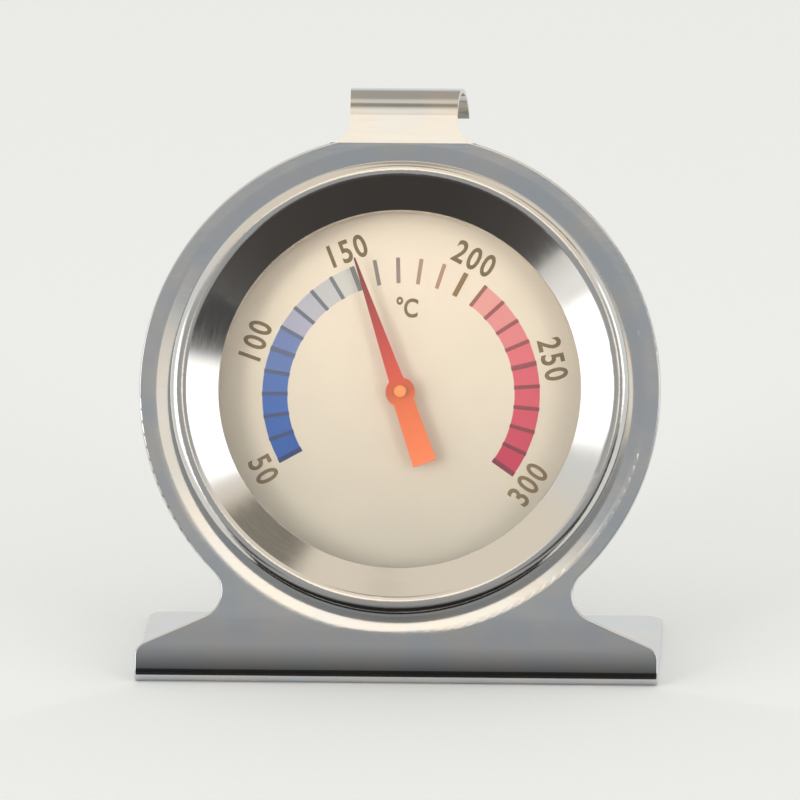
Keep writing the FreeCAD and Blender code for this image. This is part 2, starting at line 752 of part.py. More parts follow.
def bimetal_coil():
    """Flat spiral strip from the collet out to the anchor, made of half-turn arcs."""
    turns = int(round(value("coil_turns")))
    step = value("coil_pitch") / 2
    half_strip = value("coil_thickness") / 2
    start = value(COIL_START) + step / 2
    back = value(COIL_BACK)

    def half_turn(number, offset):
        """One half turn of a face of the strip, from or to the side where the anchor stands."""
        odd = number % 2
        centre = FreeCAD.Vector(0, (0.5 - odd) * step, back)
        radius = start + number * step + offset
        first = math.pi * (odd - 0.5)
        circle = Part.Circle(centre, FreeCAD.Vector(0, 0, 1), radius)
        return Part.Arc(circle, first, first + math.pi).toShape()

    outer = [half_turn(number, half_strip) for number in range(2 * turns)]
    inner = [half_turn(number, -half_strip) for number in range(2 * turns)]
    caps = []
    for near, far in ((inner[0], outer[0]), (inner[-1], outer[-1])):
        ends = [min((v.Point for v in arc.Vertexes), key=lambda p: p.y) for arc in (near, far)]
        caps.append(Part.LineSegment(*ends).toShape())
    loop = Part.Wire(Part.__sortEdges__(outer + inner + caps))
    strip = Part.Face(loop).extrude(FreeCAD.Vector(0, 0, value("coil_width")))
    coil = doc.addObject("Part::Feature", "bimetal_coil")
    coil.Label = "bimetal_coil"
    coil.Shape = strip
    coil.setExpression("Placement", "dial_frame.Placement")
    return coil


def coil_anchor():
    """Angle on the case's floor that holds the coil's outer end."""
    body = new_body("coil_anchor")
    section = new_sketch(body, "angle_section", "YZ_Plane")
    draw_outline(
        section,
        [
            (f"-{ANCHOR_FACE}", FLOOR_INSIDE),
            (f"-{ANCHOR_FACE}", COIL_FRONT),
            (f"-{ANCHOR_BACK}", COIL_FRONT),
            (f"-{ANCHOR_BACK}", FEET_TOP),
            (f"-{ANCHOR_END}", FEET_TOP),
            (f"-{ANCHOR_END}", FLOOR_INSIDE),
        ],
    )
    pad(body, "angle", section, "anchor_width", "Symmetric")
    hole = new_sketch(body, "rivet_hole", "XY_Plane", FLOOR_INSIDE)
    draw_circle(hole, "rivet_radius + fit_gap", *RIVETS[2])
    cut(body, "rivet_cut", hole, "bridge_thickness * 4")
    return body


def pointer_shaft():
    """Thin shaft from the rear bush, through the coil and the dial, up to the needle's hub."""
    foot = f"({FLOOR_OUTSIDE} - bush_tail + bush_wall + running_clearance)"
    return ring_of("pointer_shaft", None, "shaft_radius", foot, NEEDLE_BACK)


def pointer_hub():
    """Bush under the needle, with a neck through its eye and a low cap in front."""
    body = new_body("pointer_hub")
    cap_front = f"({NEEDLE_FRONT} + cap_height)"
    turn_round(
        body,
        "hub",
        [
            (SHAFT_HOLE, HUB_BACK),
            ("hub_radius", HUB_BACK),
            ("hub_radius", NEEDLE_BACK),
            ("cap_radius", NEEDLE_BACK),
            ("cap_radius", cap_front),
            ("0", cap_front),
            ("0", NEEDLE_BACK),
            (SHAFT_HOLE, NEEDLE_BACK),
        ],
    )
    round_edges(body, "cap_edge", "cap_height / 2", circle_at("cap_radius", cap_front))
    return body


def pointer_needle():
    """Flat needle with a round eye, a long taper to its tip and a square tail."""
    body = new_body("pointer_needle")
    body.setExpression(
        "Placement",
        "dial_frame.Placement * "
        + linked("placement(vector(0; 0; 0); rotation(vector(0; 0; 1); rest_angle))"),
    )
    blade = new_sketch(body, "blade_outline", "XY_Plane", NEEDLE_BACK)
    half = [
        ("(tail_end_width / 2)", "-tail_length"),
        ("(tail_width / 2)", "0"),
        ("(needle_width / 2)", "eye_radius"),
        ("(needle_tip / 2)", "needle_length"),
    ]
    draw_outline(blade, half + [(f"-{x}", y) for x, y in reversed(half)])
    pad(body, "blade", blade, "needle_thickness")
    disc = new_sketch(body, "eye_disc_outline", "XY_Plane", NEEDLE_BACK)
    draw_circle(disc, "eye_radius")
    pad(body, "eye_disc", disc, "needle_thickness")
    eye = new_sketch(body, "eye_hole", "XY_Plane", NEEDLE_BACK)
    draw_circle(eye, "cap_radius + fit_gap")
    cut(body, "eye_cut", eye, "needle_thickness * 4")
    return body


parts = [
    stand_bracket(),
    bezel_ring(),
    lens_gasket(),
    ring_of("glass_lens", None, FIT_RADIUS, LENS_BACK, LENS_FRONT),
    ring_of("spacer_ring", f"({FIT_RADIUS} - spacer_width)", FIT_RADIUS, DIAL_FACE, LENS_BACK),
    ring_of("dial_plate", "(hub_radius + dial_hole_clearance)", FIT_RADIUS, DIAL_BACK, DIAL_FACE),
    case_can(),
    movement_bridge(),
    case_rivets(),
    front_bearing(),
    rear_bearing(),
    ring_of("thrust_washer", SHAFT_RUN, "washer_radius", REAR_BUSH_TOP, WASHER_TOP),
    bimetal_coil(),
    coil_anchor(),
    ring_of("coil_collet", SHAFT_HOLE, "collet_radius", COLLET_BACK, COLLET_FRONT),
    pointer_shaft(),
    pointer_hub(),
    pointer_needle(),
]
doc.recompute()

# ---------------------------------------------------------------- checks and files

for item in doc.Objects:
    if {"Invalid", "Error"} & set(item.State):
        raise ValueError(f"{item.Label} failed: {item.State}")
for part in parts:
    if part.Shape.isNull() or not part.Shape.isValid():
        raise ValueError(f"{part.Label} has no valid shape")

os.makedirs("parts", exist_ok=True)
for part in parts:
    part.Shape.exportStep(f"parts/{part.Label}.step")
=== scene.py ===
import json
import math

import bmesh
import bpy
from mathutils import Matrix, Vector


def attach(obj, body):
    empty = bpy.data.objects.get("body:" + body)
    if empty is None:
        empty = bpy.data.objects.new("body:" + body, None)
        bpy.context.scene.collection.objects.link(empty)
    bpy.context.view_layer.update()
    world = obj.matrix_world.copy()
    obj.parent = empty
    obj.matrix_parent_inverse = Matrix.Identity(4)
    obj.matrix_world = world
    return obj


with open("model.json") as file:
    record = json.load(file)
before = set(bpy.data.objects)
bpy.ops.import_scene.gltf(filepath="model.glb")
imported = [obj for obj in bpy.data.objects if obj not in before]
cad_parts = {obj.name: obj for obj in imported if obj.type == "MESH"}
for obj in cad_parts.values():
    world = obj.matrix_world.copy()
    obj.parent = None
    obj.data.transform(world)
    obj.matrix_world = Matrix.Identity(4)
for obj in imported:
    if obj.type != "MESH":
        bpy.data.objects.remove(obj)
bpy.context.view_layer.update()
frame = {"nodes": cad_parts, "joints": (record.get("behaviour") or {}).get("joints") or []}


# --- Case can -------------------------------------------------------------------------------
# A cup deep-drawn from 0.4 mm stainless strip, with four vent holes in its floor. Its flange is
# trapped behind the dial by the bezel's crimp. The punch leaves fine rings and a satin face.

MM = 0.001
MICRON = 1e-6
HINGE = frame["joints"][0]
DIAL_CENTRE = Vector(HINGE["pos_m"])
ACROSS = Vector((1, 0, 0))
OUTWARD = -Vector(HINGE["axis"]).normalized()
UPWARD = OUTWARD.cross(ACROSS)
DIAL_PLACE = Matrix.Translation(DIAL_CENTRE) @ Matrix((ACROSS, UPWARD, OUTWARD)).transposed().to_4x4()


def ink(code, alpha=1.0):
    """Linear colour of an sRGB hex value such as "#c0ffee"."""
    shares = [int(code[i : i + 2], 16) / 255 for i in (1, 3, 5)]
    linear = [s / 12.92 if s <= 0.04045 else ((s + 0.055) / 1.055) ** 2.4 for s in shares]
    return (*linear, alpha)


def add(tree, kind, inputs=None, **settings):
    """Adds a node with its settings; each input takes a value or another node's socket."""
    made = tree.nodes.new(kind)
    for name, value in settings.items():
        setattr(made, name, value)
    for name, value in (inputs or {}).items():
        if isinstance(value, bpy.types.NodeSocket):
            tree.links.new(value, made.inputs[name])
        else:
            made.inputs[name].default_value = value
    return made


def set_ramp(node, stops):
    """Gives a colour ramp its stops, each a position and an sRGB hex value."""
    elements = node.color_ramp.elements
    while len(elements) < len(stops):
        elements.new(0.5)
    for element, (position, code) in zip(elements, stops):
        element.position = position
        element.color = ink(code)


def new_finish(name, **sockets):
    """A material with one Principled shader, and its node tree to add a pattern to."""
    material = bpy.data.materials.new(name)
    material.use_nodes = True
    tree = material.node_tree
    tree.nodes.clear()
    values = {key.replace("_", " "): value for key, value in sockets.items()}
    shader = add(tree, "ShaderNodeBsdfPrincipled", values)
    add(tree, "ShaderNodeOutputMaterial", {"Surface": shader.outputs["BSDF"]})
    return material, tree, shader


def dial_millimetres(tree):
    """Object coordinates in the dial's own frame: millimetres across, up and out from its centre."""
    place = add(tree, "ShaderNodeTexCoord")
    return add(
        tree,
        "ShaderNodeMapping",
        {
            "Vector": place.outputs["Object"],
            "Location": DIAL_CENTRE,
            "Rotation": DIAL_PLACE.to_euler(),
            "Scale": (MM, MM, MM),
        },
        vector_type="TEXTURE",
    ).outputs["Vector"]


def drawn_out(tree, share):
    """The dial's millimetres, with those across cut to a share to draw a pattern out sideways."""
    return add(
        tree, "ShaderNodeMapping", {"Vector": dial_millimetres(tree), "Scale": (share, 1, 1)}
    ).outputs["Vector"]


def round_coordinates(tree, along):
    """Radius, angle times `along`, and depth: for lines that run round the dial's axis."""
    split = add(tree, "ShaderNodeSeparateXYZ", {"Vector": dial_millimetres(tree)})
    flat = add(tree, "ShaderNodeCombineXYZ", {"X": split.outputs["X"], "Y": split.outputs["Y"]})
    radius = add(tree, "ShaderNodeVectorMath", {0: flat.outputs[0]}, operation="LENGTH")
    angle = add(
        tree, "ShaderNodeMath", {0: split.outputs["Y"], 1: split.outputs["X"]}, operation="ARCTAN2"
    )
    stretched = add(tree, "ShaderNodeMath", {0: angle.outputs[0], 1: along}, operation="MULTIPLY")
    return add(
        tree,
        "ShaderNodeCombineXYZ",
        {"X": radius.outputs["Value"], "Y": stretched.outputs[0], "Z": split.outputs["Z"]},
    ).outputs[0]


def blots(tree, size_mm, detail=2.0, at=None, **more):
    """Noise from 0 to 1 with blots about `size_mm` across, at the dial's millimetres or at others."""
    place = dial_millimetres(tree) if at is None else at
    values = {"Vector": place, "Scale": 1 / size_mm, "Detail": detail, **more}
    return add(tree, "ShaderNodeTexNoise", values).outputs["Fac"]


def between(tree, share, first, second):
    """A colour between two sRGB hex values, nearer the second as `share` grows from 0 to 1."""
    return add(
        tree,
        "ShaderNodeMix",
        {"Factor": share, "A": ink(first), "B": ink(second)},
        data_type="RGBA",
    ).outputs["Result"]


def lines_and_haze(tree, shader, lines_at, line_mm, haze_mm, rough, spread, depth_um):
    """Fine lines in the height, and the same lines with a slower haze in the roughness.

    Sizes of both are in millimetres; the roughness is `rough`, give or take `spread`.
    """
    lines = blots(tree, line_mm, detail=3.0, at=lines_at)
    haze = blots(tree, haze_mm, detail=4.0)
    both = add(tree, "ShaderNodeMix", {"Factor": 0.5, "A": lines, "B": haze})
    roughness = add(
        tree,
        "ShaderNodeMapRange",
        {"Value": both.outputs["Result"], "From Min": 0.3, "From Max": 0.7,
         "To Min": rough - spread, "To Max": rough + spread},
    )
    bump = add(
        tree,
        "ShaderNodeBump",
        {"Height": lines, "Distance": depth_um * MICRON, "Strength": 1.0},
    )
    tree.links.new(roughness.outputs["Result"], shader.inputs["Roughness"])
    tree.links.new(bump.outputs["Normal"], shader.inputs["Normal"])
    return haze


def dress(node, material):
    """Gives a CAD node its finish."""
    for slot in frame["nodes"][node].material_slots:
        slot.material = material


# Deep-drawn stainless: grey satin with rings from the punch and the die, a little duller than
# the polished front.
case_steel, tree, shader = new_finish(
    "drawn_stainless_steel", Base_Color=ink("#c9c7c2"), Metallic=1.0
)
lines_and_haze(
    tree, shader, round_coordinates(tree, 2.0),
    line_mm=0.35, haze_mm=9.0, rough=0.27, spread=0.06, depth_um=3.0,
)
dress("case_can", case_steel)


# --- Movement bridge and coil anchor --------------------------------------------------------
# A hat-shaped strip blanked and bent from 0.8 mm brass spans the coil and carries the front
# bearing. A small brass angle, riveted to the case's floor, holds the coil's outer end.

BRASS_GRAIN = 0.06

# Rolled brass strip: yellow with the mill's straight grain and a light brown tarnish.
bridge_brass, tree, shader = new_finish("rolled_brass_strip", Metallic=1.0)
tarnish = lines_and_haze(
    tree, shader, drawn_out(tree, BRASS_GRAIN),
    line_mm=0.2, haze_mm=4.0, rough=0.3, spread=0.07, depth_um=2.0,
)
tarnished = between(tree, tarnish, "#e3c274", "#b38c46")
tree.links.new(tarnished, shader.inputs["Base Color"])
dress("movement_bridge", bridge_brass)
dress("coil_anchor", bridge_brass)


# --- Case rivets ----------------------------------------------------------------------------
# Three round-headed steel rivets fix the bridge's feet and the anchor to the case's floor.
# Their heads are set in a hollow punch.

# Nickel-plated steel: a warm grey with small dimples from the setting punch.
rivet_steel, tree, shader = new_finish(
    "nickel_plated_rivet", Base_Color=ink("#c4beb2"), Metallic=1.0
)
lines_and_haze(
    tree, shader, dial_millimetres(tree),
    line_mm=0.5, haze_mm=3.0, rough=0.32, spread=0.06, depth_um=6.0,
)
dress("case_rivets", rivet_steel)


# --- Bearings and collet --------------------------------------------------------------------
# Flanged bushes turned from brass bar: one in the bridge, one blind in the case's floor. The
# collet, turned from the same bar, is pressed on the shaft and holds the coil's inner end.

# Turned brass: bright, with the lathe's rings about each piece's own axis.
bush_brass, tree, shader = new_finish("turned_brass", Base_Color=ink("#e0bd6c"), Metallic=1.0)
lines_and_haze(
    tree, shader, round_coordinates(tree, 0.2),
    line_mm=0.12, haze_mm=3.0, rough=0.22, spread=0.05, depth_um=3.0,
)
for bush in ("front_bearing", "rear_bearing", "coil_collet"):
    dress(bush, bush_brass)


# --- Thrust washer --------------------------------------------------------------------------
# A 0.2 mm washer stamped from brass shim. It lies loose between the collet and the rear
# bearing's flange and takes the pointer's weight.

# Stamped shim brass: paler and duller than the bar, with a fine even grain.
washer_brass, tree, shader = new_finish("shim_brass", Base_Color=ink("#dcc284"), Metallic=1.0)
lines_and_haze(
    tree, shader, dial_millimetres(tree),
    line_mm=0.15, haze_mm=2.0, rough=0.35, spread=0.08, depth_um=2.0,
)
dress("thrust_washer", washer_brass)


# --- Bimetal coil ---------------------------------------------------------------------------
# A strip of two rolled and bonded alloys, wound to five turns. Its outer end is held by the
# anchor, its inner end by the collet, and heat makes it wind and unwind.

# Aged bimetal strip: straw and pale blue oxide colours from the stabilising oven.
coil_bimetal, tree, shader = new_finish("aged_bimetal_strip", Metallic=1.0)
oxide = lines_and_haze(
    tree, shader, round_coordinates(tree, 1.0),
    line_mm=0.2, haze_mm=3.0, rough=0.3, spread=0.06, depth_um=2.0,
)
tempered = add(tree, "ShaderNodeValToRGB", {"Fac": oxide})
set_ramp(tempered, ((0.35, "#b9a06a"), (0.65, "#8b93a6")))
tree.links.new(tempered.outputs["Color"], shader.inputs["Base Color"])
dress("bimetal_coil", coil_bimetal)


# --- Pointer shaft --------------------------------------------------------------------------
# A 1.2 mm spindle ground from steel wire. It runs in both bearings and carries the collet and
# the hub.

# Ground steel wire: bright, with a very fine even grain from the centreless grinder.
shaft_steel, tree, shader = new_finish(
    "ground_steel_wire", Base_Color=ink("#d0cfcc"), Metallic=1.0
)
lines_and_haze(
    tree, shader, dial_millimetres(tree),
    line_mm=0.1, haze_mm=2.0, rough=0.16, spread=0.04, depth_um=1.0,
)
dress("pointer_shaft", shaft_steel)


# --- Dial plate and its printed scale -------------------------------------------------------
# A 0.4 mm aluminium disc, enamelled cream and baked. The scale is screen-printed: a blue to
# lilac band, a pink to red band, a stroke each ten degrees and plain numbers.

DIAL_FACE = max(OUTWARD.dot(v.co - DIAL_CENTRE) for v in frame["nodes"]["dial_plate"].data.vertices)
INK_HEIGHT = 0.02 * MM
BAND_INNER = 13.1 * MM
BAND_OUTER = 16.0 * MM
LOWEST_DEGREES = 50
HIGHEST_DEGREES = 300
MARK_DEGREES = 10
BOLD_MARKS = 5
SCALE_START = math.radians(-119.3)
SCALE_SWEEP = math.radians(244.3)
MARKS = (HIGHEST_DEGREES - LOWEST_DEGREES) // MARK_DEGREES
CELL_SWEEP = SCALE_SWEEP / MARKS
COLD_CELLS = range(0, 10)
HOT_CELLS = range(16, MARKS)
ARC_STEPS = 12
FINE_MARK = 0.45 * MM
BOLD_MARK = 0.58 * MM
MARK_OVERLAP = 0.05 * MM
NUMBER_RADIUS = 18.0 * MM
NUMBER_HEIGHT = 2.55 * MM
NUMBER_NARROWING = 0.8
NUMBER_SPACING = 1.2
NUMBER_WEIGHT = 0.022
FONT_CAPITAL = 0.69
UNIT_RADIUS = 10.2 * MM
UNIT_HEIGHT = 2.1 * MM
UNIT_TURN = math.radians(3)


def on_dial(mesh, name, material):
    """Lays a mesh drawn flat round the dial's centre on the dial's face, as a piece of the case."""
    mesh.transform(DIAL_PLACE @ Matrix.Translation((0, 0, DIAL_FACE)))
    mesh.materials.clear()
    mesh.materials.append(material)
    piece = bpy.data.objects.new(name, mesh)
    bpy.context.scene.collection.objects.link(piece)
    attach(piece, "case")
    return piece


def clock_point(radius, angle, height):
    """A point at an angle clockwise from the dial's top."""
    return (radius * math.sin(angle), radius * math.cos(angle), height)


def printed_band(cells):
    """A run of the printed band as one closed film, with each face's place on the scale kept."""
    bm = bmesh.new()
    warmth = bm.faces.layers.float.new("warmth")
    columns = []
    for step in range(len(cells) * ARC_STEPS + 1):
        angle = SCALE_START + CELL_SWEEP * (cells[0] + step / ARC_STEPS)
        corners = ((BAND_INNER, 0), (BAND_OUTER, 0), (BAND_OUTER, INK_HEIGHT), (BAND_INNER, INK_HEIGHT))
        columns.append([bm.verts.new(clock_point(r, angle, z)) for r, z in corners])
    bm.faces.new(columns[0])
    bm.faces.new(reversed(columns[-1]))
    for step, (before, after) in enumerate(zip(columns, columns[1:])):
        share = (cells[0] + step // ARC_STEPS + 0.5) / MARKS
        for i in range(4):
            face = bm.faces.new((before[i], after[i], after[i - 3], before[i - 3]))
            face[warmth] = share
    bmesh.ops.recalc_face_normals(bm, faces=bm.faces)
    mesh = bpy.data.meshes.new("printed_band")
    bm.to_mesh(mesh)
    bm.free()
    return mesh


# Baked cream enamel: a satin skin with a faint orange-peel. Its colour holds painted light and
# shade: paler towards the top and greyer towards its lower edge, with an uneven boundary.
MOTTLE_REACH = 8.0
PAINTED_LIGHT_ABOVE = 20.0
PAINTED_SHADE_BELOW = -14.0
dial_enamel, tree, shader = new_finish("cream_baked_enamel", Roughness=0.42, IOR=1.5)
mottle = blots(tree, 7.0, detail=3.0, Roughness=0.6)
upright = add(tree, "ShaderNodeSeparateXYZ", {"Vector": dial_millimetres(tree)})
uneven = add(
    tree,
    "ShaderNodeMath",
    {0: mottle, 1: MOTTLE_REACH, 2: upright.outputs["Y"]},
    operation="MULTIPLY_ADD",
)
# Painted light and shade: the enamel's colour runs from pale at the top to grey at the bottom.
painted_shade_share = add(
    tree,
    "ShaderNodeMapRange",
    {"Value": uneven.outputs[0], "From Min": PAINTED_LIGHT_ABOVE, "From Max": PAINTED_SHADE_BELOW},
)
painted_shade_colour = between(tree, painted_shade_share.outputs["Result"], "#f8e2cc", "#c8baaa")
skin = add(
    tree, "ShaderNodeBump", {"Height": blots(tree, 0.6), "Distance": 4 * MICRON, "Strength": 0.6}
)
tree.links.new(painted_shade_colour, shader.inputs["Base Color"])
tree.links.new(skin.outputs["Normal"], shader.inputs["Normal"])
dress("dial_plate", dial_enamel)

# Screen-printed band: thin satin ink whose colour steps from blue through lilac, and from pink
# to deep red, once for each cell. A fine grain of the screen shows in it.
band_ink, tree, shader = new_finish("screen_printed_band", Roughness=0.5)
place = add(tree, "ShaderNodeAttribute", attribute_name="warmth")
steps = add(tree, "ShaderNodeValToRGB", {"Fac": place.outputs["Fac"]})
set_ramp(
    steps,
    ((0.0, "#004a9c"), (0.12, "#3a62ac"), (0.22, "#6c7cb0"), (0.26, "#b0aabe"),
     (0.38, "#d6cdc6"), (0.62, "#f0a89c"), (0.8, "#e05c6a"), (1.0, "#bc1040")),
)
grain = add(
    tree, "ShaderNodeMapRange", {"Value": blots(tree, 0.25), "To Min": 0.93, "To Max": 1.07}
)
printed = add(
    tree,
    "ShaderNodeVectorMath",
    {0: steps.outputs["Color"], "Scale": grain.outputs["Result"]},
    operation="SCALE",
)
tree.links.new(printed.outputs["Vector"], shader.inputs["Base Color"])
on_dial(printed_band(COLD_CELLS), "cold_band", band_ink)
on_dial(printed_band(HOT_CELLS), "hot_band", band_ink)

# Printing ink of the strokes: matt, dark blue to slate in the cold band, fading through grey and
# pink in the gap to golden brown at 200, and dark red in the hot band.
stroke_ink, tree, shader = new_finish("tinted_stroke_ink", Roughness=0.55)
split = add(tree, "ShaderNodeSeparateXYZ", {"Vector": dial_millimetres(tree)})
round_dial = add(
    tree, "ShaderNodeMath", {0: split.outputs["X"], 1: split.outputs["Y"]}, operation="ARCTAN2"
)
reading = add(
    tree,
    "ShaderNodeMapRange",
    {"Value": round_dial.outputs[0], "From Min": SCALE_START, "From Max": SCALE_START + SCALE_SWEEP},
)
inks = add(tree, "ShaderNodeValToRGB", {"Fac": reading.outputs["Result"]})
set_ramp(
    inks,
    ((0.0, "#0c2c66"), (0.22, "#60667e"), (0.4, "#7c7a76"), (0.47, "#96807a"), (0.55, "#c09078"),
     (0.6, "#8c6c3c"), (0.66, "#a45050"), (1.0, "#7a0c2c")),
)
tree.links.new(inks.outputs["Color"], shader.inputs["Base Color"])

# Olive-brown ink of the numbers: matt, and a little thinner in places.
number_ink, tree, shader = new_finish("brown_printing_ink", Roughness=0.55)
stroke = between(tree, blots(tree, 0.4), "#6c5534", "#8c7044")
tree.links.new(stroke, shader.inputs["Base Color"])


def strokes_tree():
    """Geometry Nodes: one bar for each mark of the scale, each BOLD_MARKS-th one wider."""
    tree = bpy.data.node_groups.new("scale_strokes", "GeometryNodeTree")
    sockets = {}
    for name, kind in (("Marks", "Int"), ("Bold Every", "Int"), ("Start", "Float"), ("Step", "Float"),
                       ("Inner", "Float"), ("Length", "Float"), ("Width", "Float"),
                       ("Bold Width", "Float"), ("Height", "Float"), ("Ink", "Material")):
        made = tree.interface.new_socket(name, in_out="INPUT", socket_type=f"NodeSocket{kind}")
        sockets[name] = made.identifier
    tree.interface.new_socket("Geometry", in_out="OUTPUT", socket_type="NodeSocketGeometry")
    given = add(tree, "NodeGroupInput").outputs
    points = add(tree, "GeometryNodeMeshLine", {"Count": given["Marks"], "Offset": (0, 0, 0)})
    number = add(tree, "GeometryNodeInputIndex").outputs[0]
    turned = add(
        tree,
        "ShaderNodeMath",
        {0: number, 1: given["Step"], 2: given["Start"]},
        operation="MULTIPLY_ADD",
    )
    clockwise = add(tree, "ShaderNodeMath", {0: turned.outputs[0], 1: -1.0}, operation="MULTIPLY")
    rotation = add(tree, "ShaderNodeCombineXYZ", {"Z": clockwise.outputs[0]})
    left = add(tree, "FunctionNodeIntegerMath", {0: number, 1: given["Bold Every"]}, operation="MODULO")
    is_bold = add(
        tree,
        "FunctionNodeCompare",
        {2: left.outputs[0], 3: 0},
        data_type="INT",
        operation="EQUAL",
    )
    ratio = add(
        tree, "ShaderNodeMath", {0: given["Bold Width"], 1: given["Width"]}, operation="DIVIDE"
    )
    widening = add(
        tree,
        "GeometryNodeSwitch",
        {"Switch": is_bold.outputs[0], "False": 1.0, "True": ratio.outputs[0]},
        input_type="FLOAT",
    )
    scale = add(tree, "ShaderNodeCombineXYZ", {"X": widening.outputs[0], "Y": 1.0, "Z": 1.0})
    size = add(
        tree,
        "ShaderNodeCombineXYZ",
        {"X": given["Width"], "Y": given["Length"], "Z": given["Height"]},
    )
    bar = add(tree, "GeometryNodeMeshCube", {"Size": size.outputs[0]})
    half = add(
        tree, "ShaderNodeMath", {0: given["Length"], 1: 0.5, 2: given["Inner"]}, operation="MULTIPLY_ADD"
    )
    lift = add(tree, "ShaderNodeMath", {0: given["Height"], 1: 0.5}, operation="MULTIPLY")
    seat = add(tree, "ShaderNodeCombineXYZ", {"Y": half.outputs[0], "Z": lift.outputs[0]})
    stood = add(
        tree,
        "GeometryNodeTransform",
        {"Geometry": bar.outputs["Mesh"], "Translation": seat.outputs[0]},
    )
    copies = add(
        tree,
        "GeometryNodeInstanceOnPoints",
        {"Points": points.outputs[0], "Instance": stood.outputs[0],
         "Rotation": rotation.outputs[0], "Scale": scale.outputs[0]},
    )
    real = add(tree, "GeometryNodeRealizeInstances", {"Geometry": copies.outputs[0]})
    inked = add(
        tree, "GeometryNodeSetMaterial", {"Geometry": real.outputs[0], "Material": given["Ink"]}
    )
    add(tree, "NodeGroupOutput", {"Geometry": inked.outputs[0]})
    return tree, sockets


def grown(name, tree, sockets, values):
    """The plain mesh that a Geometry Nodes tree makes with these named values."""
    seed = bpy.data.objects.new(name, bpy.data.meshes.new(name))
    bpy.context.scene.collection.objects.link(seed)
    modifier = seed.modifiers.new(name, "NODES")
    modifier.node_group = tree
    for key, value in values.items():
        modifier[sockets[key]] = value
    bpy.context.view_layer.update()
    mesh = bpy.data.meshes.new_from_object(seed.evaluated_get(bpy.context.evaluated_depsgraph_get()))
    bpy.data.objects.remove(seed)
    return mesh


strokes = grown(
    "scale_marks",
    *strokes_tree(),
    {
        "Marks": MARKS + 1,
        "Bold Every": BOLD_MARKS,
        "Start": SCALE_START,
        "Step": CELL_SWEEP,
        "Inner": BAND_INNER - MARK_OVERLAP,
        "Length": BAND_OUTER - BAND_INNER + 2 * MARK_OVERLAP,
        "Width": FINE_MARK,
        "Bold Width": BOLD_MARK,
        "Height": 2 * INK_HEIGHT,
        "Ink": stroke_ink,
    },
)
on_dial(strokes, "scale_marks", stroke_ink)


def lettering(words, height, narrowing=1.0, spacing=1.0):
    """Words as a thin closed film of ink, centred on the origin and `height` tall."""
    curve = bpy.data.curves.new(words, "FONT")
    curve.body = words
    curve.align_x = "CENTER"
    curve.size = height / FONT_CAPITAL
    curve.space_character = spacing
    curve.offset = NUMBER_WEIGHT * curve.size
    curve.extrude = INK_HEIGHT / 2
    curve.resolution_u = 8
    writing = bpy.data.objects.new(words, curve)
    bpy.context.scene.collection.objects.link(writing)
    bpy.context.view_layer.update()
    mesh = bpy.data.meshes.new_from_object(
        writing.evaluated_get(bpy.context.evaluated_depsgraph_get())
    )
    bpy.data.objects.remove(writing)
    mesh.transform(
        Matrix.Diagonal((narrowing, 1, 1, 1)) @ Matrix.Translation((0, -height / 2, INK_HEIGHT / 2))
    )
    return mesh


numbers = bmesh.new()
for degrees in range(LOWEST_DEGREES, HIGHEST_DEGREES + 1, MARK_DEGREES * BOLD_MARKS):
    angle = SCALE_START + SCALE_SWEEP * (degrees - LOWEST_DEGREES) / (HIGHEST_DEGREES - LOWEST_DEGREES)
    flipped = degrees in (LOWEST_DEGREES, HIGHEST_DEGREES)
    words = lettering(str(degrees), NUMBER_HEIGHT, NUMBER_NARROWING, NUMBER_SPACING)
    turn = Matrix.Rotation(-angle + (math.pi if flipped else 0), 4, "Z")
    words.transform(Matrix.Translation(clock_point(NUMBER_RADIUS, angle, 0)) @ turn)
    numbers.from_mesh(words)
unit = lettering("°C", UNIT_HEIGHT, NUMBER_NARROWING)
unit.transform(
    Matrix.Translation(clock_point(UNIT_RADIUS, UNIT_TURN, 0)) @ Matrix.Rotation(-UNIT_TURN, 4, "Z")
)
numbers.from_mesh(unit)
bmesh.ops.remove_doubles(numbers, verts=numbers.verts, dist=1e-8)
scale_numbers = bpy.data.meshes.new("scale_numbers")
numbers.to_mesh(scale_numbers)
numbers.free()
on_dial(scale_numbers, "scale_numbers", number_ink)


# --- Pointer hub and needle -----------------------------------------------------------------
# The hub is a turned bush with a neck and a domed cap, pressed on the shaft. The needle, cut
# from 0.25 mm aluminium, is riveted under the cap and balanced by its broad tail.

NEEDLE_REACH = 16.6
NEEDLE_TAIL = -8.8
NEEDLE_LEAN = math.radians(19.5)

# Orange stove lacquer: glossy, its coat a little paler in places.
hub_paint, tree, shader = new_finish("orange_stove_lacquer", Roughness=0.25)
coat = between(tree, blots(tree, 0.8), "#f08a4a", "#ff9c58")
tree.links.new(coat, shader.inputs["Base Color"])
dress("pointer_hub", hub_paint)

# Red lacquer, glossy, with painted reflection in its colour: dark red at the tip, running to
# orange at the tail, and a painted shadow, browner, across the eye round the hub.
needle_paint, tree, shader = new_finish("red_lacquer_painted_reflection", Roughness=0.28)
turned = add(
    tree,
    "ShaderNodeMapping",
    {"Vector": dial_millimetres(tree), "Rotation": (0, 0, -NEEDLE_LEAN)},
)
parts = add(tree, "ShaderNodeSeparateXYZ", {"Vector": turned.outputs["Vector"]})
share = add(
    tree,
    "ShaderNodeMapRange",
    {"Value": parts.outputs["Y"], "From Min": NEEDLE_TAIL, "From Max": NEEDLE_REACH},
)
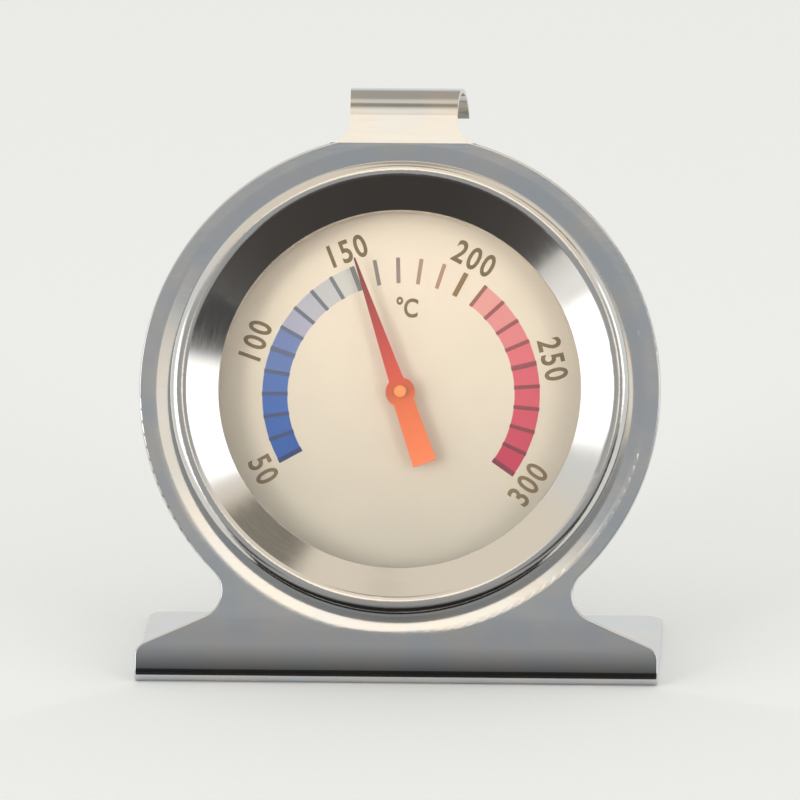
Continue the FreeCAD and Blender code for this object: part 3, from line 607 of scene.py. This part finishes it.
# Painted reflection and shadow: dark red at the tip to orange at the tail, browner across the eye.
painted_reflection_ramp = add(tree, "ShaderNodeValToRGB", {"Fac": share.outputs["Result"]})
set_ramp(
    painted_reflection_ramp,
    ((0.0, "#f57a44"), (0.3, "#e2662f"), (0.35, "#c8582c"), (0.41, "#d64a2c"), (0.6, "#be3830"),
     (1.0, "#6c2320")),
)
tree.links.new(painted_reflection_ramp.outputs["Color"], shader.inputs["Base Color"])
dress("pointer_needle", needle_paint)


# --- Spacer ring ----------------------------------------------------------------------------
# A strip of aluminium rolled to a ring, which stands between the dial and the window. The funnel
# hides it from the front: a sliver shows only from more than 40 degrees off the dial's axis.

# Bright rolled aluminium with straight mill lines that run round the ring.
spacer_aluminium, tree, shader = new_finish(
    "rolled_aluminium", Base_Color=ink("#dcdcda"), Metallic=1.0
)
lines_and_haze(
    tree, shader, round_coordinates(tree, 1.0),
    line_mm=0.2, haze_mm=5.0, rough=0.3, spread=0.06, depth_um=2.0,
)
dress("spacer_ring", spacer_aluminium)


# --- Glass window ---------------------------------------------------------------------------
# A flat disc cut from 1.2 mm soda-lime glass with a ground edge, held between the gasket and
# the spacer.

# Clear soda-lime glass: a breath of green, reflections softened here and there by a wiped smear,
# and lamps shine through it.
window_glass, tree, shader = new_finish(
    "soda_lime_glass", Base_Color=ink("#fbfdfb"), IOR=1.52, Transmission_Weight=1.0
)
smear = blots(tree, 6.0)
wiped = add(
    tree,
    "ShaderNodeMapRange",
    {"Value": smear, "From Min": 0.35, "From Max": 0.75, "To Min": 0.0, "To Max": 0.03},
)
tree.links.new(wiped.outputs["Result"], shader.inputs["Roughness"])
passing = add(tree, "ShaderNodeBsdfTransparent", {"Color": ink("#fafcfa")})
rays = add(tree, "ShaderNodeLightPath")
lamps = add(
    tree,
    "ShaderNodeMixShader",
    {0: rays.outputs["Is Shadow Ray"], 1: shader.outputs["BSDF"], 2: passing.outputs["BSDF"]},
)
tree.links.new(lamps.outputs[0], tree.nodes["Material Output"].inputs["Surface"])
dress("glass_lens", window_glass)


# --- Lens gasket ----------------------------------------------------------------------------
# A wedge ring moulded in heat-proof silicone. It fills the angle between the bezel's slope and
# the window, and keeps steam out.

# Moulded silicone: milky off-white, soft sheen, slightly translucent.
gasket_silicone, tree, shader = new_finish(
    "moulded_silicone", Roughness=0.45, Subsurface_Weight=0.15, Subsurface_Scale=0.001
)
milk = between(tree, blots(tree, 3.0), "#d6d3cb", "#e2dfd8")
tree.links.new(milk, shader.inputs["Base Color"])
dress("lens_gasket", gasket_silicone)


# --- Bezel ring -----------------------------------------------------------------------------
# Pressed from 0.4 mm stainless strip and polished: a round crest, a funnel that slopes
# in to the window, and a sleeve that passes through the stand and is crimped over the case.

# Polished stainless with some wear: softened reflections and faint rings from the mop.
bezel_steel, tree, shader = new_finish(
    "polished_stainless_steel", Base_Color=ink("#d8d6d2"), Metallic=1.0
)
lines_and_haze(
    tree, shader, round_coordinates(tree, 3.0),
    line_mm=0.3, haze_mm=8.0, rough=0.14, spread=0.035, depth_um=0.25,
)
dress("bezel_ring", bezel_steel)


# --- Stand bracket --------------------------------------------------------------------------
# Blanked and bent from one 0.5 mm sheet of bright stainless: the flat foot, the leaning plate
# with its dished ring round the bezel, and the hook at the top.

ROLL_LENGTH = 14

# Bright-annealed stainless sheet: pale grey with faint cool and warm patches, fine lines along the
# rolling direction and a light handling haze.
stand_steel, tree, shader = new_finish("bright_annealed_stainless", Metallic=1.0)
handled = lines_and_haze(
    tree, shader, drawn_out(tree, 1 / ROLL_LENGTH),
    line_mm=0.25, haze_mm=6.0, rough=0.13, spread=0.04, depth_um=0.5,
)
patches = add(
    tree, "ShaderNodeMapRange", {"Value": handled, "From Min": 0.38, "From Max": 0.62}
)
tinged = between(tree, patches.outputs["Result"], "#cfd3d7", "#d7d5d2")
tree.links.new(tinged, shader.inputs["Base Color"])
dress("stand_bracket", stand_steel)


# --- Studio ---------------------------------------------------------------------------------
# A pale floor in a plain studio of soft boxes, reflectors and flags. A dark card lies before the
# foot with a low lip standing on it, and both show only in what reflects them.

FLOOR_RADIUS = 4.0
FLOOR_SIDES = 96
VIEW_AZIMUTH = math.radians(2.2)
VIEW_ELEVATION = math.radians(12.8)
VIEW_DISTANCE = 1.3
VIEW_WIDTH = 0.092
SENSOR = 36.0
AIM = Vector((0, -0.003, 0.0305))
BOX_DISTANCE = 0.9


def towards(azimuth, elevation):
    """Unit vector to a place seen from the object; azimuth 0 is in front, towards -Y."""
    return Vector(
        (
            math.sin(azimuth) * math.cos(elevation),
            -math.cos(azimuth) * math.cos(elevation),
            math.sin(elevation),
        )
    )


def staged(name, corners, material):
    """A flat piece of the studio."""
    mesh = bpy.data.meshes.new(name)
    mesh.from_pydata(corners, [], [range(len(corners))])
    mesh.materials.append(material)
    made = bpy.data.objects.new(name, mesh)
    bpy.context.scene.collection.objects.link(made)
    return made


# Pale paper: matt and faintly fibrous.
floor_paper, tree, shader = new_finish("pale_paper", Roughness=0.9)
coordinates = add(tree, "ShaderNodeTexCoord")
fibre = add(
    tree,
    "ShaderNodeTexNoise",
    {"Vector": coordinates.outputs["Object"], "Scale": 900.0, "Detail": 2.0},
)
paper = between(tree, fibre.outputs["Fac"], "#f3f2ef", "#f6f5f3")
tree.links.new(paper, shader.inputs["Base Color"])
turns = [side * math.tau / FLOOR_SIDES for side in range(FLOOR_SIDES)]
rim = [(FLOOR_RADIUS * math.cos(turn), FLOOR_RADIUS * math.sin(turn), 0) for turn in turns]
staged("studio_floor", rim, floor_paper)

# Dark card: matt black-brown.
card_black, tree, shader = new_finish("dark_card", Base_Color=ink("#2b2523"), Roughness=0.7)
CARD_NEAR = 0.0168
CARD_HALF_WIDTH = 0.03
CARD_FAR = 3.0
CARD_BEARINGS = range(-40, 61, 10)
CARD_LIFT = Vector((0, 0, 0.0002))
fan = [
    Vector((-CARD_HALF_WIDTH, -CARD_NEAR, 0)),
    *(CARD_FAR * towards(math.radians(bearing), 0) for bearing in CARD_BEARINGS),
    Vector((CARD_HALF_WIDTH, -CARD_NEAR, 0)),
]
card = staged("dark_card", [tuple(corner + CARD_LIFT) for corner in fan], card_black)
card.visible_camera = card.visible_shadow = card.visible_diffuse = False

# Lip on the card, which glows by itself: near black at its foot and a little darker than the
# screen at its top. Both ends were set by comparing the foot's reflection with the photo's.
lip_grey, tree, shader = new_finish(
    "graded_card_lip", Base_Color=ink("#000000"), Roughness=1.0, Emission_Strength=1.0
)
LIP_HEIGHT = 0.012
LIP_DISTANCE = 0.022
LIP_HALF_WIDTH = 0.034
coordinates = add(tree, "ShaderNodeTexCoord")
upright = add(tree, "ShaderNodeSeparateXYZ", {"Vector": coordinates.outputs["Object"]})
level = add(
    tree, "ShaderNodeMapRange", {"Value": upright.outputs["Z"], "From Max": LIP_HEIGHT}
)
graded = add(tree, "ShaderNodeValToRGB", {"Fac": level.outputs["Result"]})
set_ramp(graded, ((0.35, "#202020"), (0.7, "#a8a8a8")))
tree.links.new(graded.outputs["Color"], shader.inputs["Emission Color"])
lip = staged(
    "card_lip",
    [
        (-LIP_HALF_WIDTH, -LIP_DISTANCE, CARD_LIFT.z),
        (LIP_HALF_WIDTH, -LIP_DISTANCE, CARD_LIFT.z),
        (LIP_HALF_WIDTH, -LIP_DISTANCE, LIP_HEIGHT),
        (-LIP_HALF_WIDTH, -LIP_DISTANCE, LIP_HEIGHT),
    ],
    lip_grey,
)
lip.visible_camera = lip.visible_shadow = lip.visible_diffuse = False


def soft_box(name, azimuth, elevation, width, height, radiance, colour):
    """A rectangular soft box of that angular size, aimed at the object, as bright as `radiance`.

    Neither the camera nor a reflection shows it, so that it puts no glare on the window.
    """
    lamp = bpy.data.lights.new(name, "AREA")
    lamp.shape = "RECTANGLE"
    lamp.size = 2 * BOX_DISTANCE * math.tan(math.radians(width) / 2)
    lamp.size_y = 2 * BOX_DISTANCE * math.tan(math.radians(height) / 2)
    lamp.energy = radiance * math.pi * lamp.size * lamp.size_y
    lamp.color = ink(colour)[:3]
    holder = bpy.data.objects.new(name, lamp)
    out = towards(math.radians(azimuth), math.radians(elevation))
    holder.location = AIM + BOX_DISTANCE * out
    holder.rotation_euler = out.to_track_quat("Z", "Y").to_euler()
    holder.visible_camera = holder.visible_glossy = False
    bpy.context.scene.collection.objects.link(holder)


soft_box("left_front_box", -33, 12, 14, 26, 7.0, "#ffffff")
soft_box("right_front_box", 33, 12, 14, 26, 4.5, "#ffffff")

WARM = (1.0, 0.9, 0.76)
WHITE = (1.0, 1.0, 1.0)
COOL = (0.97, 1.0, 1.02)

# What polished metal and glass reflect of the plain studio, by direction: azimuth and elevation of
# a panel's middle, its width, height and soft edge, all in degrees, its grey level and its tint.
# Their places, and about their levels, were found by comparing the steel's reflections with the
# photo's. A later panel covers an earlier one. Matt pieces, and whatever looks out through the
# window's glass, get plain walls in their place.
PANELS = (
    (0, 75, 360, 60, 12, 0.95, WARM),  # warm white ceiling
    (0, 10, 104, 60, 4, 0.44, COOL),  # grey screen behind the camera
    (-62, 10, 34, 44, 4, 2.0, WHITE),  # soft box on the left
    (68, 28, 22, 30, 4, 2.0, WHITE),  # soft box on the right
    (50, 2, 18, 26, 5, 0.07, WHITE),  # black flag beside it
    (80, 60, 24, 20, 5, 0.25, WARM),  # grey flag above it
    (0, 43, 24, 15, 2, 1.6, WARM),  # warm reflector over the camera
    (17, 32, 15, 10, 2, 1.6, WARM),  # smaller one at its side
    (0, 62, 24, 11, 3, 1.25, WARM),  # second reflector above them
    (0, 81, 90, 14, 4, 0.38, WARM),  # grey flag over them all
    (180, 52, 40, 50, 14, 0.52, WARM),  # grey rear wall
)
WALLS = (0.85, 0.86, 0.85)
PAPER_SWEEP = (0.93, 0.93, 0.925, 1)


def degrees_of(tree, radians):
    """The same angle in degrees."""
    return add(tree, "ShaderNodeMath", {0: radians}, operation="DEGREES").outputs[0]


def near_middle(tree, angle, middle, width, soft):
    """1 inside a span of angles round its middle, falling smoothly to 0 outside it."""
    off = add(tree, "ShaderNodeMath", {0: angle, 1: -middle}, operation="ADD")
    turned = add(
        tree, "ShaderNodeMath", {0: off.outputs[0], 1: -180.0, 2: 180.0}, operation="WRAP"
    )
    distance = add(tree, "ShaderNodeMath", {0: turned.outputs[0]}, operation="ABSOLUTE")
    return add(
        tree,
        "ShaderNodeMapRange",
        {"Value": distance.outputs[0], "From Min": width / 2 - soft / 2,
         "From Max": width / 2 + soft / 2, "To Min": 1.0, "To Max": 0.0},
        interpolation_type="SMOOTHSTEP",
    ).outputs["Result"]


world = bpy.data.worlds.new("studio")
bpy.context.scene.world = world
world.use_nodes = True
tree = world.node_tree
tree.nodes.clear()
direction = add(tree, "ShaderNodeTexCoord")
heading = add(tree, "ShaderNodeSeparateXYZ", {"Vector": direction.outputs["Generated"]})
ahead = add(tree, "ShaderNodeMath", {0: heading.outputs["Y"], 1: -1.0}, operation="MULTIPLY")
bearing = add(
    tree, "ShaderNodeMath", {0: heading.outputs["X"], 1: ahead.outputs[0]}, operation="ARCTAN2"
)
rise = add(tree, "ShaderNodeMath", {0: heading.outputs["Z"]}, operation="ARCSINE")
azimuth = degrees_of(tree, bearing.outputs[0])
elevation = degrees_of(tree, rise.outputs[0])
walls = (*WALLS, 1)
for middle, height, width, tall, soft, level, tint in PANELS:
    beside = near_middle(tree, azimuth, middle, width, soft)
    beyond = near_middle(tree, elevation, height, tall, soft)
    both = add(tree, "ShaderNodeMath", {0: beside, 1: beyond}, operation="MULTIPLY")
    walls = add(
        tree,
        "ShaderNodeMix",
        {"Factor": both.outputs[0], "A": walls, "B": (*(level * share for share in tint), 1)},
        data_type="RGBA",
    ).outputs["Result"]
rays = add(tree, "ShaderNodeLightPath")
sees_walls = add(
    tree,
    "ShaderNodeMath",
    {0: rays.outputs["Is Diffuse Ray"], 1: rays.outputs["Is Transmission Ray"]},
    operation="MAXIMUM",
)
plain = add(
    tree,
    "ShaderNodeMix",
    {"Factor": sees_walls.outputs[0], "A": walls, "B": (*WALLS, 1)},
    data_type="RGBA",
)
shown = add(
    tree,
    "ShaderNodeMix",
    {"Factor": rays.outputs["Is Camera Ray"], "A": plain.outputs["Result"], "B": PAPER_SWEEP},
    data_type="RGBA",
)
sky = add(tree, "ShaderNodeBackground", {"Color": shown.outputs["Result"]})
add(tree, "ShaderNodeOutputWorld", {"Surface": sky.outputs[0]})

camera_data = bpy.data.cameras.new("camera")
camera_data.sensor_width = SENSOR
camera_data.lens = SENSOR * VIEW_DISTANCE / VIEW_WIDTH
camera_data.clip_start = 0.05
camera = bpy.data.objects.new("camera", camera_data)
looking = towards(VIEW_AZIMUTH, VIEW_ELEVATION)
camera.location = AIM + VIEW_DISTANCE * looking
camera.rotation_euler = looking.to_track_quat("Z", "Y").to_euler()
bpy.context.scene.collection.objects.link(camera)
bpy.context.scene.camera = camera
bpy.context.scene.view_settings.view_transform = "Standard"
